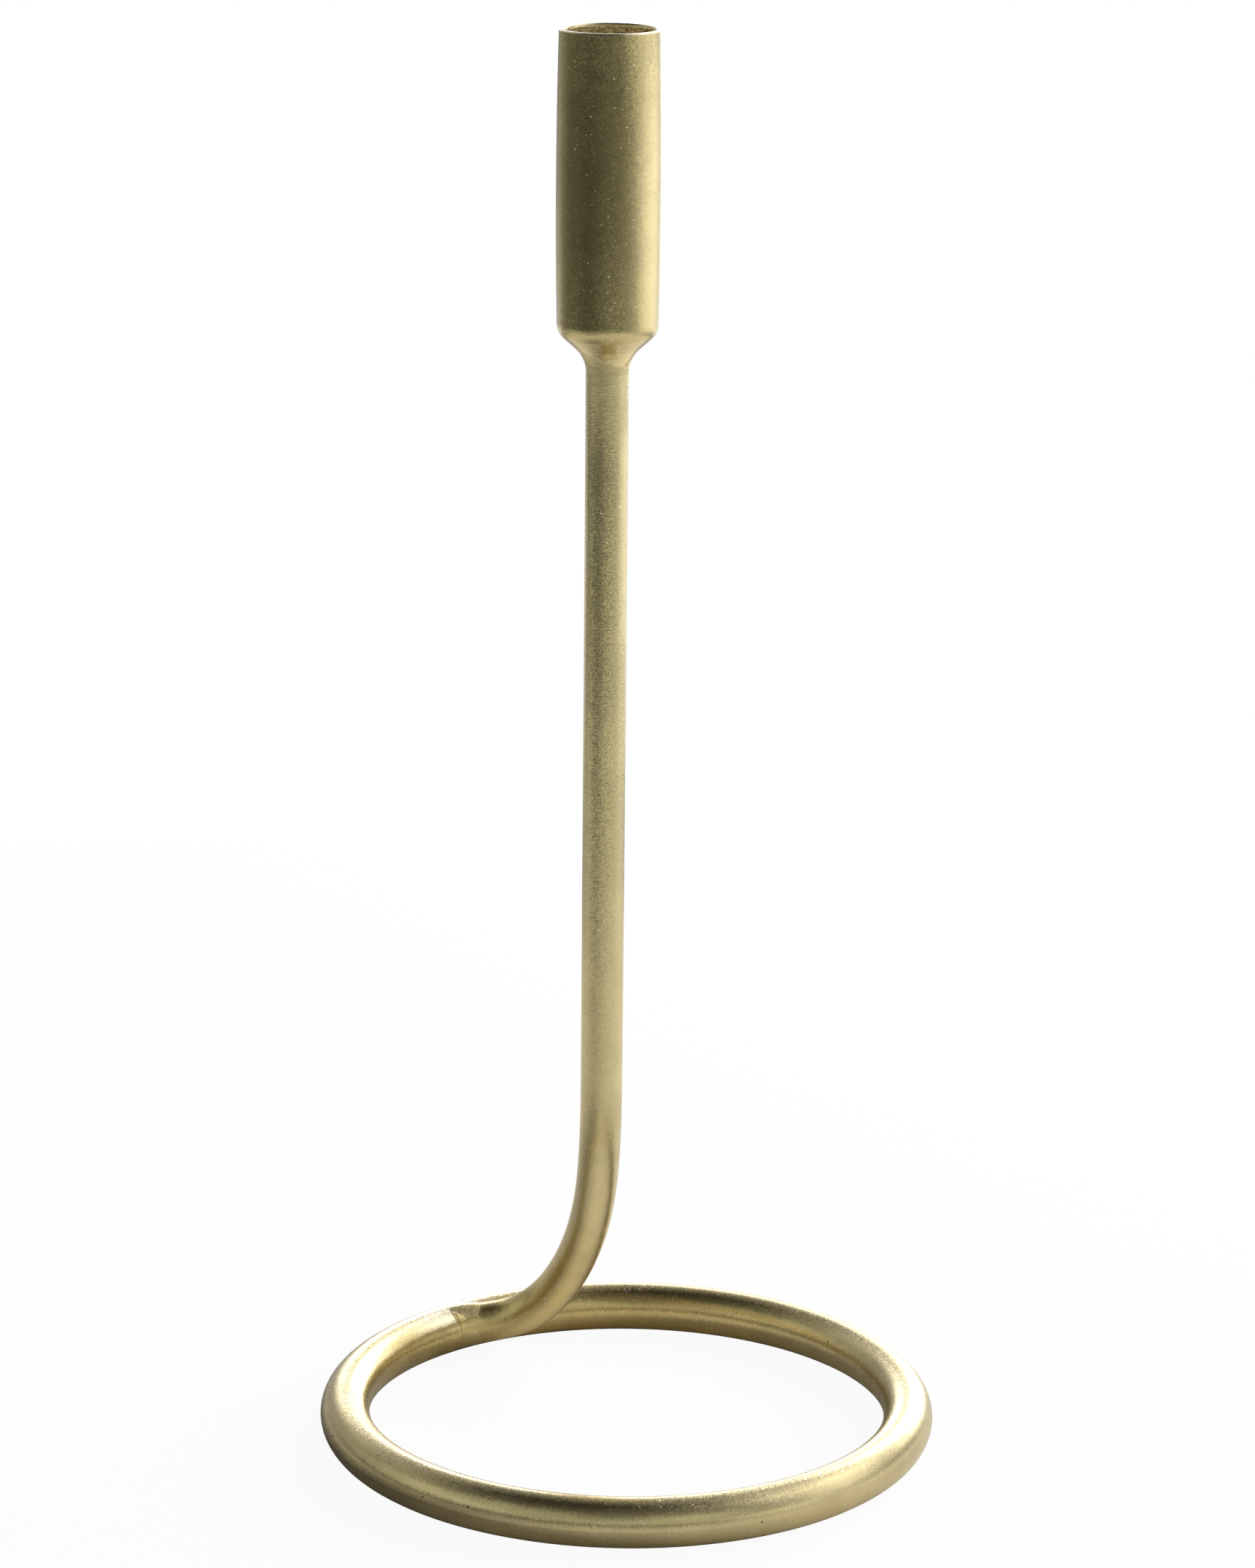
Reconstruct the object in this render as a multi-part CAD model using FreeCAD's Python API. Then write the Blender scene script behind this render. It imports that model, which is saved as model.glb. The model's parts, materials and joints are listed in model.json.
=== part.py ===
import FreeCAD, Part
import math
import os
from FreeCAD import Vector

os.makedirs("parts", exist_ok=True)

# Whole holder: it stands on the table with the middle of its hoop at the origin, +Z up
overall_height = 349.0
overrun = 2.0

# Hoop: a round bar bent flat into a ring, its two ends butt welded and ground flush
hoop_outer_d = 153.0
hoop_bar_d = 12.2
seam_gap = 1.8
seam_from_stem_end_angle = 3.0

# Stem: a thinner round bar that leaves the hoop along its tangent, curls in and up,
# and ends in an upright with a turned spigot on top
stem_bar_d = 10.3
stem_offset_x = -7.0
stem_offset_y = 8.0
stem_end_angle = 131.6
stem_end_inset = 1.2
stem_end_lift = 0.7
stem_lead = 13.3
stem_toe_in_angle = 5.0
curl_angle = 112.6
curl_inset = 11.6
rise_angle = 106.8
rise_inset = 15.7
rise_height = 12.0
sweep_angle = 101.8
sweep_inset = 21.5
sweep_height = 41.0
upright_pull_height = 45.0
upright_height = 92.0
spigot_d = 7.0
spigot_head = 0.6

# Stem weld: a run of filler in the two grooves between stem and hoop, fading out both ways
weld_bar_d = 11.5
weld_waist_d = 10.9
weld_tail_d = 7.8
weld_waist_reach = 7.0
weld_tail_reach = 14.0
weld_back_reach = 5.0
weld_centre_shares = (0.05, 0.45, 0.9, 0.7)

# Candle cup: turned from bar, slightly barrelled, with a straight bore and a coned underside
bore_d = 22.0
rim_wall = 1.04
rim_chamfer = 0.35
belly_swell = 0.46
belly_depth = 40.0
heel_swell = 0.13
heel_depth = 69.6
heel_round = 4.7
cone_half_angle = 48.0
seat_d = 13.7
floor_t = 2.2
cone_wall = 1.5
spigot_clearance = 0.05

# Neck braze: a ring of filler dressed to a hollow curve between cup and stem
braze_hollow_r = 8.0

hoop_bar_r = hoop_bar_d / 2
hoop_centre_r = hoop_outer_d / 2 - hoop_bar_r
stem_bar_r = stem_bar_d / 2
stem_axis = Vector(stem_offset_x, stem_offset_y, 0)
up = Vector(0, 0, 1)
bore_r = bore_d / 2
rim_r = bore_r + rim_wall
belly_r = rim_r + belly_swell
heel_r = rim_r + heel_swell


def polar(radius, angle, height):
    turn = math.radians(angle)
    return Vector(radius * math.cos(turn), radius * math.sin(turn), height)


def angle_of_length(length):
    return math.degrees(length / hoop_centre_r)


def round_profile(centre, direction, radius):
    circle = Part.Circle(centre, direction, radius)
    return Part.Wire([circle.toShape()])


def hoop_sector(start_angle, sweep_angle_wanted):
    # the bar's round section, turned about the hoop's upright axis
    start = polar(hoop_centre_r, start_angle, hoop_bar_r)
    along = polar(1, start_angle + 90, 0)
    section = Part.Face(round_profile(start, along, hoop_bar_r))
    return section.revolve(Vector(0, 0, 0), up, sweep_angle_wanted)


def make_hoop():
    seam_angle = angle_of_length(seam_gap)
    seam_start = stem_end_angle + seam_from_stem_end_angle
    bar = hoop_sector(seam_start + seam_angle, 360 - seam_angle)
    seam = hoop_sector(seam_start, seam_angle)
    return bar, seam


def stem_curve():
    # one smooth curve from the hoop's tangent to the foot of the upright
    end_height = hoop_bar_r + stem_end_lift
    end = polar(hoop_centre_r - stem_end_inset, stem_end_angle, end_height)
    heading = stem_end_angle - 90 - stem_toe_in_angle
    lead = end + polar(stem_lead, heading, 0)
    curl = polar(hoop_centre_r - curl_inset, curl_angle, end_height)
    rise = polar(hoop_centre_r - rise_inset, rise_angle, rise_height)
    sweep = polar(hoop_centre_r - sweep_inset, sweep_angle, sweep_height)
    pull = stem_axis + up * upright_pull_height
    foot = stem_axis + up * upright_height
    curve = Part.BezierCurve()
    curve.setPoles([end, lead, curl, rise, sweep, pull, foot])
    return curve


def make_stem(curve, hoop):
    start = curve.value(0)
    top = stem_axis + up * (overall_height - seat_depth())
    upright = Part.LineSegment(curve.value(1), top)
    path = Part.Wire([curve.toShape(), upright.toShape()])
    section = round_profile(start, curve.tangent(0)[0], stem_bar_r)
    bar = path.makePipeShell([section], True, False)
    spigot_length = floor_t + spigot_head
    spigot = Part.makeCylinder(spigot_d / 2, spigot_length + overrun, top - up * overrun)
    return bar.fuse(spigot).removeSplitter().cut(hoop)


def weld_section(curve, reach, centre_share, diameter):
    # a round section between the hoop's centre line and the stem's, reach along the stem
    station = curve.parameterAtDistance(reach)
    on_stem = curve.value(station)
    angle = math.degrees(math.atan2(on_stem.y, on_stem.x))
    on_hoop = polar(hoop_centre_r, angle, hoop_bar_r)
    centre = on_hoop + (on_stem - on_hoop) * centre_share
    return round_profile(centre, polar(1, angle - 90, 0), diameter / 2)


def make_stem_weld(curve, hoop, stem):
    back_angle = stem_end_angle + angle_of_length(weld_back_reach)
    back_inset = stem_end_inset * weld_centre_shares[0]
    back_centre = polar(hoop_centre_r - back_inset, back_angle, hoop_bar_r)
    sections = [
        round_profile(back_centre, polar(1, back_angle - 90, 0), weld_bar_d / 2),
        weld_section(curve, 0, weld_centre_shares[1], weld_bar_d),
        weld_section(curve, weld_waist_reach, weld_centre_shares[2], weld_waist_d),
        weld_section(curve, weld_tail_reach, weld_centre_shares[3], weld_tail_d),
    ]
    run = Part.makeLoft(sections, True, False)
    return run.cut(hoop).cut(stem)


def cone_depth(radius):
    # depth below the rim at which the cup's coned underside has this radius
    corner_depth = heel_depth + heel_round * math.tan(math.radians(cone_half_angle / 2))
    return corner_depth + (heel_r - radius) / math.tan(math.radians(cone_half_angle))


def seat_depth():
    # where the cone ends in the flat that sits on the stem's shoulder
    return cone_depth(seat_d / 2)


def cup_point(radius, depth):
    return Vector(radius, 0, overall_height - depth)


def revolve_on_stem(edges):
    face = Part.Face(Part.Wire(edges))
    face.translate(stem_axis)
    return face.revolve(stem_axis, up, 360)


def line(a, b):
    return Part.LineSegment(a, b).toShape()


def arc(a, b, c):
    return Part.Arc(a, b, c).toShape()


def make_cup():
    half = math.radians(cone_half_angle)
    hole_r = spigot_d / 2 + spigot_clearance
    # the rim's two edges are broken
    rim_outer = cup_point(rim_r, rim_chamfer)
    rim_outer_top = cup_point(rim_r - rim_chamfer, 0)
    rim_inner_top = cup_point(bore_r + rim_chamfer, 0)
    rim_inner = cup_point(bore_r, rim_chamfer)
    # the wall's barrel and the round heel that turns it into the cone
    belly = cup_point(belly_r, belly_depth)
    heel = cup_point(heel_r, heel_depth)
    heel_centre_r = heel_r - heel_round
    heel_mid = cup_point(heel_centre_r + heel_round * math.cos(half / 2),
                         heel_depth + heel_round * math.sin(half / 2))
    cone_top = cup_point(heel_centre_r + heel_round * math.cos(half),
                         heel_depth + heel_round * math.sin(half))
    cone_end = cup_point(seat_d / 2, seat_depth())
    # the bore, an inner cone parallel to the outer one, and a flat floor round the spigot
    wall_across = cone_wall / math.cos(half)
    floor_depth = seat_depth() - floor_t
    floor_r = seat_d / 2 + floor_t * math.tan(half) - wall_across
    bore_end = cup_point(bore_r, cone_depth(bore_r + wall_across))
    floor_edge = cup_point(floor_r, floor_depth)
    floor_hole = cup_point(hole_r, floor_depth)
    seat_hole = cup_point(hole_r, seat_depth())
    return revolve_on_stem([
        line(rim_outer_top, rim_inner_top),
        line(rim_inner_top, rim_inner),
        line(rim_inner, bore_end),
        line(bore_end, floor_edge),
        line(floor_edge, floor_hole),
        line(floor_hole, seat_hole),
        line(seat_hole, cone_end),
        line(cone_end, cone_top),
        arc(cone_top, heel_mid, heel),
        arc(heel, belly, rim_outer),
        line(rim_outer, rim_outer_top),
    ])


def make_neck_braze():
    half = math.radians(cone_half_angle)
    # a hollow arc that is tangent to the cone above and to the stem below
    corner_depth = cone_depth(stem_bar_r)
    leg = braze_hollow_r * math.tan(half / 2)
    low_depth = corner_depth + leg
    centre_r = stem_bar_r + braze_hollow_r
    high = cup_point(centre_r - braze_hollow_r * math.cos(half),
                     low_depth - braze_hollow_r * math.sin(half))
    middle = cup_point(centre_r - braze_hollow_r * math.cos(half / 2),
                       low_depth - braze_hollow_r * math.sin(half / 2))
    low = cup_point(stem_bar_r, low_depth)
    cone_end = cup_point(seat_d / 2, seat_depth())
    seat = cup_point(stem_bar_r, seat_depth())
    return revolve_on_stem([
        line(seat, cone_end),
        line(cone_end, high),
        arc(high, middle, low),
        line(low, seat),
    ])


def save(shape, name):
    shape.exportStep("parts/" + name + ".step")
    print(name, "solids", len(shape.Solids), "volume", round(shape.Volume, 3), shape.isValid())


def main():
    hoop, seam = make_hoop()
    whole_hoop = hoop_sector(0, 360)
    curve = stem_curve()
    stem = make_stem(curve, whole_hoop)
    save(hoop, "base_ring")
    save(seam, "ring_seam_weld")
    save(stem, "stem")
    save(make_stem_weld(curve, whole_hoop, stem), "stem_foot_weld")
    save(make_cup(), "candle_cup")
    save(make_neck_braze(), "neck_braze")


main()
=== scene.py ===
import json
import math

import bpy
from mathutils import Matrix, Vector


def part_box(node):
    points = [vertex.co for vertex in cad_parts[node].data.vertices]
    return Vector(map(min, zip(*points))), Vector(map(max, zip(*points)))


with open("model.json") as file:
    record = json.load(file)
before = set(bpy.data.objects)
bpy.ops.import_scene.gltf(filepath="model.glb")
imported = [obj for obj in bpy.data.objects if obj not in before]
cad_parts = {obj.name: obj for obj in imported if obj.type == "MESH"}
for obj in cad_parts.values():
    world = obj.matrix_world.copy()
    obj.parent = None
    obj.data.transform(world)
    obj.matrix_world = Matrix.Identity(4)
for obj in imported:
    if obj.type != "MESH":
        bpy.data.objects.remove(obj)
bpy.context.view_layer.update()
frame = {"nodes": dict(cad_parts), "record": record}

# The photograph's frame in pixels, and its camera in metres and radians
PHOTO_WIDTH, PHOTO_HEIGHT = 1725, 2156
FOCAL_PX = 6767.208
SENSOR = 36.0
CAMERA_AT = Vector((0.0, -1.148827, 0.480293))
PITCH_DOWN = 0.2653481
YAW = -0.0010993
ROLL = 0.0096271

# Places on the holder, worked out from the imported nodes
ring_low, ring_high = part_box("base_ring")
cup_low, cup_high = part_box("candle_cup")
neck_low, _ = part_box("neck_braze")
seam_low, seam_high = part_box("ring_seam_weld")
bar_thick = ring_high.z - ring_low.z
hoop_r = (ring_high.x - ring_low.x - bar_thick) / 2
stem_axis = (cup_low + cup_high) / 2
rim_z = cup_high.z
socket = next(m for m in frame["record"]["mounts"] if m["name"] == "candle_socket")
bore_r = socket["dims"]["r_mm"] / 1000
bore_floor_z = socket["pos_m"][2] - socket["dims"]["length_mm"] / 1000

# The middle of the joint's pale top: its turn round the bar, and how far its bearing
# lies from the butt weld's towards the stem's end, in degrees
seam_bearing = math.degrees(math.atan2(seam_low.y + seam_high.y, seam_low.x + seam_high.x))
GROUND_TURN = 104.0
GROUND_FROM_SEAM = 3.2
# How far from there the patch fades, in metres, and above which shares of the bar's height
GROUND_NEAR, GROUND_FAR = 0.0040, 0.0220
GROUND_LOW, GROUND_HIGH = 0.62, 0.92

# Pits on the hoop: bearing and turn round the bar in degrees, width in metres
HOOP_PITS = (
    (240.6, 17.0, 0.0007), (230.5, 9.0, 0.0006), (244.2, 46.0, 0.0006), (199.1, 19.0, 0.0007),
    (261.5, 37.0, 0.0005), (37.1, 154.0, 0.0006), (43.0, 76.0, 0.0006), (341.3, 70.0, 0.0006),
    (295.0, -1.0, 0.0006), (127.0, 81.0, 0.0007), (130.0, 228.0, 0.0009),
)

# Other marks on the hoop, each place a bearing and a turn round the bar in degrees:
# the two ends of the groove's painted shade line and of the scuff, and the middle of the browner
# side
CREVICE_ENDS = ((124.0, 103.0), (117.5, 107.0))
SCUFF_ENDS = ((216.5, 56.0), (219.6, 61.0))
BROWNER_AT = (112.0, 180.0)
BROWNER_NEAR, BROWNER_FAR = 0.030, 0.090

# The cup's heel band above the node's foot, and the middle of the brown marks on the neck,
# as a step from the stem's axis at the cup's foot, in metres
HEEL_UP = 0.0055
NECK_MARK_STEP = Vector((0.0005, -0.0088, 0.0018))

# The neck filler's ragged edge: its height above the node's foot, and its slant
NECK_EDGE_UP = 0.0031
NECK_SLANT = 0.38
# The neck filler's tone over the record's, set so that its lit side is as bright as in
# the photograph
BRAZE_GAIN = 1.22

# The lacquer's tone over the record's colours: a little greener on the hoop and the fillers
# at its joint, and yellower above
LOW_TONE, HIGH_TONE = (1.0, 1.035, 1.03), (1.0, 1.01, 0.88)
HIGH_SLOTS = ("stem_brass", "cup_brass", "braze_brass")

# Widths of the finish's features, in metres
CLOUD = 0.016
MOTTLE = 0.0024
GRAIN = 0.00042
FLAKE = 0.00028
WRINKLE_LONG = 0.0030
WRINKLE_HIGH = 0.00050
SCRATCH_LONG = 0.0060
SCRATCH_HIGH = 0.00022
STREAK_WIDE = 0.00035
PIT_SPACING = 0.0075
PIT_WIDE = 0.00042

# Heights of the finish's features, in metres
PIT_DEEP = 0.00008
STREAK_DEEP = 0.00002
WRINKLE_DEEP = 0.00030
SCRATCH_DEEP = 0.00004
SKIN_DEEP = 0.00035

# Roughness and strength of the grain
HOOP_ROUGH, HOOP_GRAIN = 0.27, 0.8
CUP_ROUGH, CUP_GRAIN = 0.27, 0.7
FILLER_ROUGH, FILLER_GRAIN = 0.29, 0.8
STEM_ROUGH, STEM_GRAIN = 0.32, 1.15

# Tones of the marks
# the pale tone of the glinting flakes is a painted glint
PAINTED_GLINT_PALE = (1.0, 0.95, 0.8, 1)
# painted shade inside the pits
PIT_SHADE_BROWN, FINE_PIT_SHADE_BROWN = (0.10, 0.08, 0.03, 1), (0.10, 0.075, 0.03, 1)
GROUND_PALE = (0.86, 0.78, 0.60, 1)
# painted shade in the groove between the hoop and the stem's end
CREVICE_SHADE_BROWN = (0.42, 0.26, 0.09, 1)
BROWNER = (1.0, 0.91, 0.68, 1)
SCUFF_GREY = (0.22, 0.22, 0.12, 1)
NECK_BROWN = (0.50, 0.35, 0.16, 1)
SKIN_DARK, SKIN_PALE = (0.38, 0.26, 0.09, 1), (0.86, 0.68, 0.36, 1)
# painted highlight along the cup's rim
RIM_HIGHLIGHT_PALE = (0.93, 0.84, 0.62, 1)

# Studio: a white floor round the holder, and further out a surround that only the brass sees.
# A light on the surround is a bearing (0 is right, 90 behind) and a height, its half widths across
# and up, all in degrees as seen from above the hoop, and a level (1 is white). Those behind and at
# the right are windows and carry daylight's tint, the others the room's.
FLOOR_REACH = 8.0
FLOOR_GLOW_SEEN = 0.94
FLOOR_PAINT, WHITE = (0.92, 0.92, 0.92, 1), (1, 1, 1, 1)
# what the brass sees of the floor: its paint, with a painted shadow that dims it at the left near
# the holder, and some glow further out
DIM_LEFT, DIM_RIGHT, DIM_SHARE = -0.085, -0.02, 0.6
GLOW_NEAR, GLOW_FAR, GLOW_SHARE = 0.1, 0.3, 0.35
FLOOR_NEAR, FLOOR_FAR = 0.25, 0.6
SKY_LEVEL = 0.24
SURROUND_START = 0.45
SURROUND_REACH = 3.0
SURROUND_EYE = Vector((0, 0, 0.3))
SURROUND_STEP = 6
FLOOR_LIFT = 0.001
LAMP_AT, LAMP_AIM = (1.0, 0.9, 0.55), (0, 0, 0.1)
LAMP_SIZE, LAMP_WATTS = (2.4, 1.0), 50
WINDOWS_UP_TO = 120
WINDOW_TINT, ROOM_TINT = (0.97, 1.0, 1.07), (0.95, 1.0, 0.94)
LIGHTS = (
    (180, -30, 24, 8, 0.81),
    (270, -30, 24, 8, 0.71),
    (315, -30, 24, 8, 0.95),
    (0, -18, 16, 7, 0.95),
    (30, -18, 16, 7, 0.85),
    (60, -18, 16, 7, 1.22),
    (120, -18, 16, 7, 1.11),
    (0, -7, 16, 5, 0.84),
    (30, -7, 16, 5, 1.21),
    (150, -7, 16, 5, 0.16),
    (75, -3, 6, 5, 3.52),
    (120, 4, 16, 5, 0.46),
    (180, 8, 16, 4, 0.60),
    (210, 9, 16, 4, 0.27),
    (240, 9, 16, 4, 0.38),
    (270, 9, 16, 4, 0.34),
    (300, 8, 16, 4, 0.49),
    (330, 4, 16, 5, 1.24),
    (65, 6, 6, 5, 4.65),
    (95, 6, 6, 5, 5.60),
    (0, 14, 16, 6, 0.99),
    (60, 14, 16, 6, 3.70),
    (150, 14, 16, 6, 0.34),
    (210, 16, 16, 5, 0.66),
    (270, 16, 16, 5, 0.51),
    (105, 15, 6, 5, 2.00),
    (65, 24, 6, 5, 4.75),
    (75, 24, 6, 5, 6.60),
    (0, 26, 16, 7, 1.20),
    (120, 26, 16, 7, 0.62),
    (180, 26, 16, 7, 0.72),
    (240, 26, 16, 7, 0.44),
    (300, 26, 16, 7, 0.80),
    (0, 40, 16, 8, 0.76),
    (30, 40, 16, 8, 1.89),
    (60, 40, 16, 8, 0.63),
    (120, 40, 16, 8, 0.30),
    (150, 40, 16, 8, 0.42),
    (210, 40, 16, 8, 0.42),
    (240, 40, 16, 8, 0.27),
    (300, 40, 16, 8, 0.39),
    (0, 56, 24, 9, 0.90),
    (45, 56, 24, 9, 0.57),
    (180, 56, 24, 9, 0.09),
    (270, 56, 24, 9, 0.08),
    (270, 75, 45, 12, 0.07),
)


class Graph:
    """The nodes of one material. An input takes a number, a colour or another node's output."""

    def __init__(self, name):
        self.material = bpy.data.materials.new(name)
        self.material.use_nodes = True
        self.tree = self.material.node_tree
        self.tree.nodes.clear()
        self.place = self.add("TexCoord").outputs["Object"]
        axes = self.add("SeparateXYZ", {"Vector": self.place}).outputs
        self.x, self.y, self.z = axes[0], axes[1], axes[2]

    def add(self, kind, inputs=(), **settings):
        node = self.tree.nodes.new("ShaderNode" + kind)
        for key, value in settings.items():
            setattr(node, key, value)
        for key, value in dict(inputs).items():
            self.feed(node.inputs[key], value)
        return node

    def feed(self, socket, value):
        if isinstance(value, bpy.types.NodeSocket):
            self.tree.links.new(value, socket)
        else:
            socket.default_value = value

    def several(self, kind, operation, values, output, **settings):
        node = self.add(kind, operation=operation, **settings)
        for socket, value in zip(node.inputs, values):
            self.feed(socket, value)
        return node.outputs[output]

    def maths(self, operation, *values, clamp=False):
        return self.several("Math", operation, values, "Value", use_clamp=clamp)

    def vector(self, operation, *values):
        output = "Value" if operation in ("DISTANCE", "LENGTH", "DOT_PRODUCT") else "Vector"
        return self.several("VectorMath", operation, values, output)

    def join(self, x, y, z):
        return self.add("CombineXYZ", {"X": x, "Y": y, "Z": z}).outputs[0]

    def noise(self, width, detail=2.0, rough=0.55, place=None):
        return self.add("TexNoise", {"Vector": place or self.place, "Scale": 1 / width,
                                     "Detail": detail, "Roughness": rough}).outputs["Fac"]

    def cells(self, width, place=None):
        return self.add("TexVoronoi", {"Vector": place or self.place, "Scale": 1 / width})

    def ease(self, value, low, high, start=0.0, end=1.0):
        limits = {"Value": value, "From Min": low, "From Max": high, "To Min": start, "To Max": end}
        return self.add("MapRange", limits, interpolation_type="SMOOTHSTEP").outputs["Result"]

    def times(self, *values):
        product = values[0]
        for value in values[1:]:
            product = self.maths("MULTIPLY", product, value)
        return product

    def plus(self, *values):
        total = values[0]
        for value in values[1:]:
            total = self.maths("ADD", total, value)
        return total

    def less(self, a, b):
        return self.maths("SUBTRACT", a, b)

    def mix(self, share, a, b, blend="MIX"):
        node = self.add("Mix", data_type="RGBA", blend_type=blend)
        self.feed(node.inputs[0], share)
        self.feed(node.inputs[6], a)
        self.feed(node.inputs[7], b)
        return node.outputs[2]

    def near(self, point, inner, outer):
        """1 within inner of a point, fading to 0 at outer."""
        return self.ease(self.vector("DISTANCE", self.place, point), inner, outer, 1.0, 0.0)

    def near_line(self, start, end, inner, outer):
        """1 within inner of the line between two points, fading to 0 at outer."""
        run = end - start
        away = self.vector("SUBTRACT", self.place, start)
        step = self.vector("DOT_PRODUCT", away, run / run.length_squared)
        step = self.maths("MULTIPLY", step, 1.0, clamp=True)
        nearest = self.vector("MULTIPLY_ADD", self.join(step, step, step), run, start)
        return self.ease(self.vector("DISTANCE", self.place, nearest), inner, outer, 1.0, 0.0)

    def drawn_out(self, share):
        """The place with its level axes shortened to a share, which draws a noise out level."""
        return self.join(self.times(self.x, share), self.times(self.y, share), self.z)

    def radius(self, centre):
        """Distance from an upright axis through centre."""
        across = self.join(self.less(self.x, centre.x), self.less(self.y, centre.y), 0.0)
        return self.vector("LENGTH", across)


def rgba(colour, gain=1.0):
    return (*[min(1.0, c * gain) for c in colour], 1.0)


def record_colour(slot):
    for entry in frame["record"]["materials"]:
        if entry["slot"] == slot:
            tone = HIGH_TONE if slot in HIGH_SLOTS else LOW_TONE
            return tuple(plain * part for plain, part in zip(entry["base_color"], tone))
    raise ValueError(slot)


class Brass(Graph):
    """Satin champagne lacquer over brass: cloudy tone, fine grain and a few tilted flakes whose
    paler tone is a painted glint.
    """

    def __init__(self, name, colour, rough, grain=1.0):
        super().__init__(name)
        self.cloud = self.noise(CLOUD, 3, 0.6)
        self.mottle = self.noise(MOTTLE, 3, 0.6)
        self.grain = self.noise(GRAIN, 2, 0.7)
        flakes = self.cells(FLAKE)
        self.dice = self.add("SeparateColor", {"Color": flakes.outputs["Color"]})
        self.glint = self.ease(self.dice.outputs[0], 0.990, 0.999)
        deep, pale = rgba(colour, 0.93), rgba(colour, 1.05)
        self.colour = self.mix(self.ease(self.cloud, 0.35, 0.65), deep, pale)
        shade = self.plus(1.0, self.times(self.less(self.mottle, 0.5), 0.10),
                          self.times(self.less(self.grain, 0.5), 0.30 * grain))
        self.colour = self.mix(1.0, self.colour, self.join(shade, shade, shade), "MULTIPLY")
        self.rough = self.plus(rough, self.times(self.less(self.mottle, 0.5), 0.05),
                               self.times(self.less(self.grain, 0.5), 0.08 * grain))
        self.height = self.plus(self.times(self.grain, GRAIN * 0.03 * grain),
                                self.times(self.mottle, MOTTLE * 0.005))
        self.tilt_of_flakes = 0.12 * grain

    def stain(self, share, colour, rough=None):
        """Lays another tone over the finish where share is 1."""
        self.colour = self.mix(share, self.colour, colour)
        if rough is not None:
            kept = self.times(self.less(1.0, share), self.rough)
            self.rough = self.plus(kept, self.times(share, rough))

    def pit(self, point, width):
        """One pit at a place, its darkness painted shade."""
        hole = self.near(point, width * 0.25, width * 0.6)
        self.stain(self.times(hole, 0.85), PIT_SHADE_BROWN, 0.6)
        self.height = self.less(self.height, self.times(hole, width * 0.2))

    def pits(self, share):
        """Tiny pits in a share of the cells, one pit to a cell, their darkness painted shade."""
        cell = self.cells(PIT_SPACING)
        dice = self.add("SeparateColor", {"Color": cell.outputs["Color"]})
        chosen = self.maths("GREATER_THAN", dice.outputs[1], 1 - share)
        half = PIT_WIDE / 2 / PIT_SPACING
        middle = self.ease(cell.outputs["Distance"], half * 0.4, half * 1.3, 1.0, 0.0)
        hole = self.times(chosen, middle)
        self.stain(self.times(hole, 0.8), FINE_PIT_SHADE_BROWN, 0.6)
        self.height = self.less(self.height, self.times(hole, PIT_DEEP))

    def build(self):
        bump = self.add("Bump", {"Height": self.height, "Strength": 1.0, "Distance": 1.0})
        lean = self.vector("SUBTRACT", self.join(*self.dice.outputs[:3]), (0.5, 0.5, 0.5))
        amount = self.plus(self.tilt_of_flakes, self.times(self.glint, 0.35))
        lean = self.vector("SCALE", lean)
        self.feed(lean.node.inputs["Scale"], amount)
        normal = self.vector("NORMALIZE", self.vector("ADD", bump.outputs["Normal"], lean))
        # painted glint: the tilted glinting flakes are also made paler
        colour = self.mix(self.times(self.glint, 0.4), self.colour, PAINTED_GLINT_PALE)
        shader = self.add("BsdfPrincipled", {"Base Color": colour, "Roughness": self.rough,
                                             "Normal": normal, "Metallic": 1.0})
        out = self.add("OutputMaterial")
        self.tree.links.new(shader.outputs[0], out.inputs["Surface"])
        return self.material


def dress(node, material):
    data = frame["nodes"][node].data
    data.materials.clear()
    data.materials.append(material)


def make_camera():
    data = bpy.data.cameras.new("camera")
    data.sensor_fit = "AUTO"
    data.sensor_width = SENSOR
    data.lens = FOCAL_PX * SENSOR / max(PHOTO_WIDTH, PHOTO_HEIGHT)
    camera = bpy.data.objects.new("camera", data)
    ahead = Vector((math.sin(YAW) * math.cos(PITCH_DOWN),
                    math.cos(YAW) * math.cos(PITCH_DOWN), -math.sin(PITCH_DOWN)))
    level = ahead.cross(Vector((0, 0, 1))).normalized()
    raised = level.cross(ahead)
    right = level * math.cos(ROLL) + raised * math.sin(ROLL)
    top = raised * math.cos(ROLL) - level * math.sin(ROLL)
    turn = Matrix((right, top, -ahead)).transposed().to_4x4()
    camera.matrix_world = Matrix.Translation(CAMERA_AT) @ turn
    data.clip_start = 0.01
    data.clip_end = 50
    bpy.context.scene.collection.objects.link(camera)
    bpy.context.scene.camera = camera


def on_hoop(bearing, turn):
    """A place on the hoop's bar: bearing round the hoop, turn round the bar from its outside up."""
    round_bar, way = math.radians(turn), math.radians(bearing)
    reach = hoop_r + bar_thick / 2 * math.cos(round_bar)
    height = bar_thick / 2 * (1 + math.sin(round_bar))
    return Vector((reach * math.cos(way), reach * math.sin(way), height))


def joint_top():
    return on_hoop(seam_bearing - GROUND_FROM_SEAM, GROUND_TURN)


def streaks_across_bar(g):
    """Fine marks that run round the hoop's bar."""
    out_r = g.radius(Vector((0, 0, 0)))
    along_x = g.times(g.maths("DIVIDE", g.x, out_r), hoop_r)
    along_y = g.times(g.maths("DIVIDE", g.y, out_r), hoop_r)
    place = g.join(along_x, along_y, g.times(g.z, 0.08))
    return g.noise(STREAK_WIDE, 2, 0.6, place)


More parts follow.
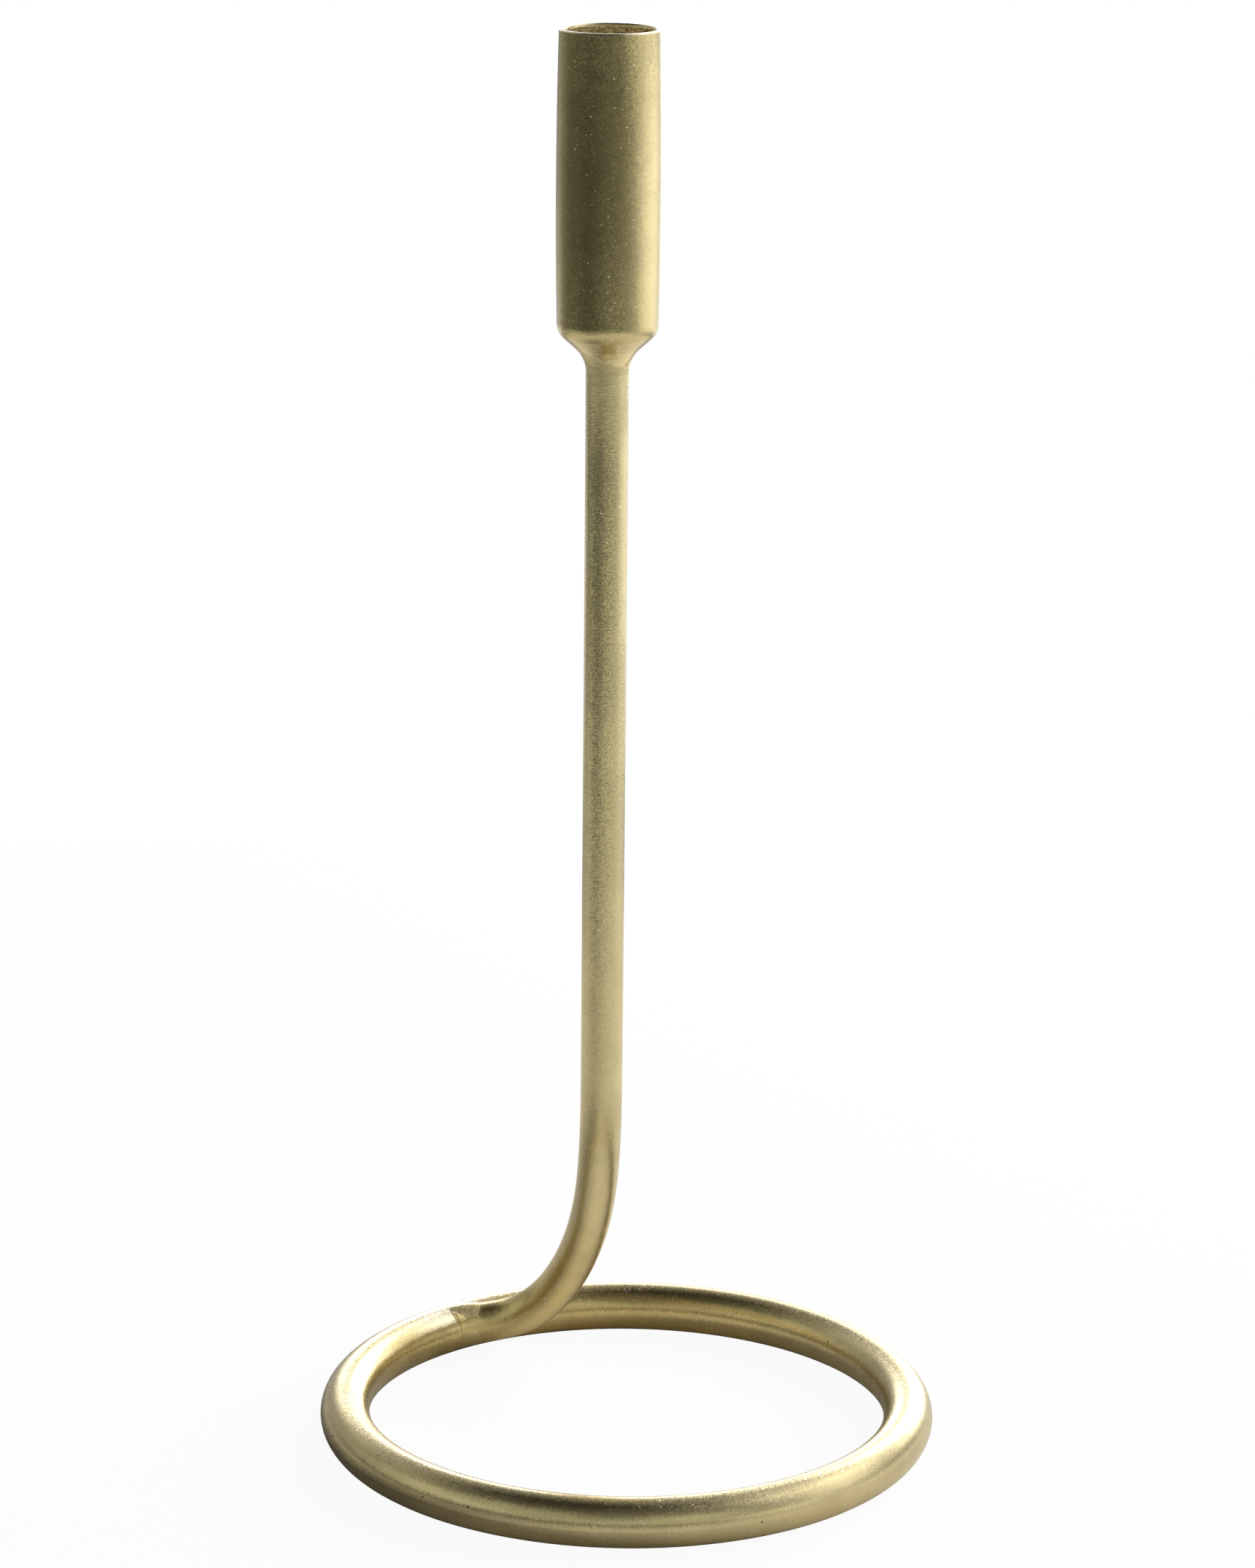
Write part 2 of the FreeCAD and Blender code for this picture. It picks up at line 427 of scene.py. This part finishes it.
def ground_joint(g):
    """A pale patch on the hoop's top at the joint."""
    wobble = g.times(g.less(g.noise(0.0016, 2), 0.5), 0.0012)
    distance = g.plus(g.vector("DISTANCE", g.place, joint_top()), wobble)
    upper = g.ease(g.z, bar_thick * GROUND_LOW, bar_thick * GROUND_HIGH)
    ground = g.times(upper, g.ease(distance, GROUND_NEAR, GROUND_FAR, 1.0, 0.0))
    g.stain(g.times(ground, 0.6), GROUND_PALE, 0.30)


def painted_crevice_shade(g):
    """Painted shade: a brown line in the groove between the hoop and the stem's end."""
    groove = g.near_line(*[on_hoop(*end) for end in CREVICE_ENDS], 0.0004, 0.0013)
    g.stain(g.times(groove, 0.6), CREVICE_SHADE_BROWN, 0.45)


def browner_side(g):
    """A browner tone on the hoop's inner side round the joint."""
    inner = g.ease(g.radius(Vector((0, 0, 0))), hoop_r - 0.005, hoop_r + 0.003, 1.0, 0.0)
    around = g.near(on_hoop(*BROWNER_AT), BROWNER_NEAR, BROWNER_FAR)
    g.colour = g.mix(g.times(inner, around, 0.7), g.colour, BROWNER, "MULTIPLY")


def hoop_lacquer(name):
    g = Brass(name, record_colour("hoop_brass"), HOOP_ROUGH, HOOP_GRAIN)
    streaks = streaks_across_bar(g)
    g.rough = g.plus(g.rough, g.times(g.less(streaks, 0.5), 0.07))
    g.height = g.plus(g.height, g.times(streaks, STREAK_DEEP))
    browner_side(g)
    ground_joint(g)
    painted_crevice_shade(g)
    return g


def hoop_finish():
    g = hoop_lacquer("hoop_lacquer")
    g.pits(0.22)
    for bearing, turn, width in HOOP_PITS:
        g.pit(on_hoop(bearing, turn), width)
    # a scuffed patch on the upper inside, at the front left
    scuffed = g.near_line(*[on_hoop(*end) for end in SCUFF_ENDS], 0.0006, 0.0022)
    marks = g.ease(g.noise(0.0007, 3, 0.7), 0.5, 0.62)
    g.stain(g.times(scuffed, marks, 0.7), SCUFF_GREY, 0.5)
    return g.build()


def seam_finish():
    return hoop_lacquer("seam_lacquer").build()


def weld_finish():
    g = Brass("weld_lacquer", record_colour("weld_brass"), FILLER_ROUGH, FILLER_GRAIN)
    # mostly the stem's tone, so that it runs on from the stem's end
    g.stain(0.75, rgba(record_colour("stem_brass")))
    browner_side(g)
    painted_crevice_shade(g)
    return g.build()


def wrinkles(g, marked):
    """Short file marks across the stem under the lacquer, where marked is above 0."""
    wrinkle = g.noise(WRINKLE_HIGH, 3, 0.6, g.drawn_out(WRINKLE_HIGH / WRINKLE_LONG))
    g.height = g.plus(g.height, g.times(wrinkle, marked, WRINKLE_DEEP))
    g.rough = g.plus(g.rough, g.times(g.less(wrinkle, 0.5), marked, 0.10))


def stem_finish():
    g = Brass("stem_lacquer", record_colour("stem_brass"), STEM_ROUGH, STEM_GRAIN)
    # file marks are strongest just below the neck
    wrinkles(g, g.ease(g.z, neck_low.z - 0.024, neck_low.z - 0.002, 0.12, 1.0))
    browner_side(g)
    painted_crevice_shade(g)
    return g.build()


def brown_neck(g):
    """Brown streaks round the front of the neck, just under the cup."""
    front = Vector((stem_axis.x, stem_axis.y, cup_low.z)) + NECK_MARK_STEP
    streak = g.ease(g.noise(0.00042, 3, 0.6, g.drawn_out(0.2)), 0.48, 0.60)
    marked = g.times(g.near(front, 0.0022, 0.0058), streak)
    g.stain(g.times(marked, 0.5), NECK_BROWN, 0.4)


def cup_finish():
    g = Brass("cup_lacquer", record_colour("cup_brass"), CUP_ROUGH, CUP_GRAIN)
    g.pits(0.10)
    # turned scratches round the heel
    scratch = g.noise(SCRATCH_HIGH, 2, 0.6, g.drawn_out(SCRATCH_HIGH / SCRATCH_LONG))
    heel_z = cup_low.z + HEEL_UP
    at_heel = g.times(g.ease(g.z, heel_z - 0.003, heel_z - 0.001),
                      g.ease(g.z, heel_z + 0.001, heel_z + 0.003, 1, 0))
    g.height = g.plus(g.height, g.times(scratch, at_heel, SCRATCH_DEEP))
    brown_neck(g)
    # the bore keeps a rough, browner skin, and the rim a painted highlight, a pale line along its
    # top
    inside = g.times(g.ease(g.radius(stem_axis), bore_r + 0.0003, bore_r + 0.0006, 1, 0),
                     g.ease(g.z, bore_floor_z, bore_floor_z + 0.001),
                     g.ease(g.z, rim_z - 0.0009, rim_z - 0.0004, 1, 0))
    skin = g.noise(0.0011, 4, 0.7)
    skin_tone = g.mix(g.ease(skin, 0.40, 0.58), SKIN_DARK, SKIN_PALE)
    g.stain(g.times(inside, 0.8), skin_tone, 0.45)
    g.height = g.plus(g.height, g.times(skin, inside, SKIN_DEEP))
    # painted highlight: a pale line along the rim's top
    rim_highlight = g.ease(g.z, rim_z - 0.00045, rim_z - 0.0002)
    g.stain(g.times(rim_highlight, 0.7), RIM_HIGHLIGHT_PALE, 0.25)
    return g.build()


def braze_finish():
    tone = [part * BRAZE_GAIN for part in record_colour("braze_brass")]
    g = Brass("braze_lacquer", tone, FILLER_ROUGH, FILLER_GRAIN)
    # the dressed filler ends in a ragged slanting edge, and below it the filed stem goes on
    slant = g.times(g.less(g.x, stem_axis.x), NECK_SLANT)
    ragged = g.times(g.less(g.noise(0.0014, 3, 0.6), 0.5), 0.0022)
    edge = g.plus(neck_low.z + NECK_EDGE_UP, ragged)
    below = g.ease(g.plus(g.z, slant), g.less(edge, 0.0003), g.plus(edge, 0.0003), 1.0, 0.0)
    g.stain(below, rgba(record_colour("stem_brass"), 0.9), 0.38)
    wrinkles(g, below)
    brown_neck(g)
    return g.build()


def staged(name, corners, faces, material):
    mesh = bpy.data.meshes.new(name)
    mesh.from_pydata(corners, [], faces)
    mesh.materials.append(material)
    thing = bpy.data.objects.new(name, mesh)
    bpy.context.scene.collection.objects.link(thing)
    return thing


def make_floor():
    corners = [(-FLOOR_REACH, -FLOOR_REACH, 0), (FLOOR_REACH, -FLOOR_REACH, 0),
               (FLOOR_REACH, FLOOR_REACH, 0), (-FLOOR_REACH, FLOOR_REACH, 0)]
    g = Graph("floor_white")
    seen = g.add("LightPath").outputs
    mirrored = g.maths("MAXIMUM", seen["Is Glossy Ray"], seen["Is Transmission Ray"])
    # the shadow stays near the holder, and further out the floor is as white as the backdrop
    reach = g.radius(Vector((0, 0, 0)))
    far = g.ease(reach, FLOOR_NEAR, FLOOR_FAR)
    glow_seen = g.maths("MAXIMUM", far, FLOOR_GLOW_SEEN)
    further = g.ease(reach, GLOW_NEAR, GLOW_FAR)
    # painted shadow: as the brass sees it, the floor near the holder goes darker towards the left
    painted_shadow = g.times(g.ease(g.x, DIM_LEFT, DIM_RIGHT, DIM_SHARE, 0.0), g.less(1.0, further))
    glow_mirrored = g.plus(painted_shadow, g.times(further, GLOW_SHARE))
    strength = g.plus(seen["Is Camera Ray"], g.times(mirrored, further))
    share = g.plus(g.times(seen["Is Camera Ray"], glow_seen), g.times(mirrored, glow_mirrored))
    paint = g.add("BsdfDiffuse", {"Color": FLOOR_PAINT})
    glow = g.add("Emission", {"Color": WHITE, "Strength": strength})
    blend = g.add("MixShader", {0: share})
    g.tree.links.new(paint.outputs[0], blend.inputs[1])
    g.tree.links.new(glow.outputs[0], blend.inputs[2])
    out = g.add("OutputMaterial")
    g.tree.links.new(blend.outputs[0], out.inputs["Surface"])
    staged("floor", corners, [(0, 1, 2, 3)], g.material)


def surround_mesh():
    """A flat ring on the floor that turns up into a dome, as corners and faces."""
    path = [(reach, FLOOR_LIFT) for reach in (SURROUND_START, SURROUND_REACH / 2, SURROUND_REACH)]
    for height in range(SURROUND_STEP, 91, SURROUND_STEP):
        turn = math.radians(height)
        path.append((SURROUND_REACH * math.cos(turn), SURROUND_REACH * math.sin(turn)))
    sides = 360 // SURROUND_STEP
    corners, faces = [], []
    for i in range(sides):
        turn = math.radians(i * SURROUND_STEP)
        corners += [(reach * math.cos(turn), reach * math.sin(turn), height)
                    for reach, height in path]
    count = len(path)
    for i in range(sides):
        here, there = i * count, (i + 1) % sides * count
        for k in range(count - 1):
            faces.append((here + k, here + k + 1, there + k + 1, there + k))
    return corners, faces


def make_surround():
    g = Graph("surround_light")
    toward = g.vector("NORMALIZE", g.vector("SUBTRACT", g.place, SURROUND_EYE))
    height = g.maths("ARCSINE", g.add("SeparateXYZ", {"Vector": toward}).outputs[2])
    level_way = g.vector("NORMALIZE", g.vector("MULTIPLY", toward, (1.0, 1.0, 0.0)))
    total = (0.0, 0.0, 0.0)
    for bearing, rise, across, up, level in LIGHTS:
        turn = math.radians(bearing)
        aside = g.less(g.vector("DOT_PRODUCT", level_way, (math.cos(turn), math.sin(turn), 0)), 1.0)
        above = g.maths("DIVIDE", g.less(height, math.radians(rise)), math.radians(up))
        fall = g.plus(g.times(aside, 1 / math.radians(across) ** 2), g.times(above, above, -0.5))
        share = g.maths("EXPONENT", fall)
        tint = WINDOW_TINT if bearing <= WINDOWS_UP_TO else ROOM_TINT
        colour = [level * part for part in tint]
        total = g.vector("MULTIPLY_ADD", g.join(share, share, share), colour, total)
    glow = g.add("Emission", {"Color": total, "Strength": 1.0})
    out = g.add("OutputMaterial")
    g.tree.links.new(glow.outputs[0], out.inputs["Surface"])
    g.material.cycles.emission_sampling = "NONE"
    surround = staged("surround", *surround_mesh(), g.material)
    surround.visible_camera = False
    surround.visible_diffuse = False
    surround.visible_shadow = False
    surround.visible_transmission = False


def make_lamp():
    data = bpy.data.lights.new("window_lamp", "AREA")
    data.shape = "RECTANGLE"
    data.size, data.size_y = LAMP_SIZE
    data.energy = LAMP_WATTS
    lamp = bpy.data.objects.new("window_lamp", data)
    lamp.location = LAMP_AT
    lamp.rotation_mode = "QUATERNION"
    lamp.rotation_quaternion = (Vector(LAMP_AIM) - Vector(LAMP_AT)).to_track_quat("-Z", "Y")
    lamp.visible_camera = False
    lamp.visible_glossy = False
    bpy.context.scene.collection.objects.link(lamp)


def make_world():
    world = bpy.data.worlds.new("studio")
    bpy.context.scene.world = world
    world.use_nodes = True
    tree = world.node_tree
    seen = tree.nodes.new("ShaderNodeLightPath").outputs
    shown = tree.nodes.new("ShaderNodeMath")
    shown.operation = "MAXIMUM"
    tree.links.new(seen["Is Camera Ray"], shown.inputs[0])
    tree.links.new(seen["Is Glossy Ray"], shown.inputs[1])
    also = tree.nodes.new("ShaderNodeMath")
    also.operation = "MAXIMUM"
    tree.links.new(shown.outputs[0], also.inputs[0])
    tree.links.new(seen["Is Transmission Ray"], also.inputs[1])
    level = tree.nodes.new("ShaderNodeMapRange")
    level.inputs["To Min"].default_value = SKY_LEVEL
    level.inputs["To Max"].default_value = 1.0
    tree.links.new(also.outputs[0], level.inputs["Value"])
    tree.links.new(level.outputs["Result"], tree.nodes["Background"].inputs["Strength"])
    tree.nodes["Background"].inputs["Color"].default_value = WHITE


make_camera()
dress("base_ring", hoop_finish())
dress("ring_seam_weld", seam_finish())
dress("stem", stem_finish())
dress("stem_foot_weld", weld_finish())
dress("candle_cup", cup_finish())
dress("neck_braze", braze_finish())
make_floor()
make_surround()
make_lamp()
make_world()
bpy.context.scene.view_settings.view_transform = "Standard"
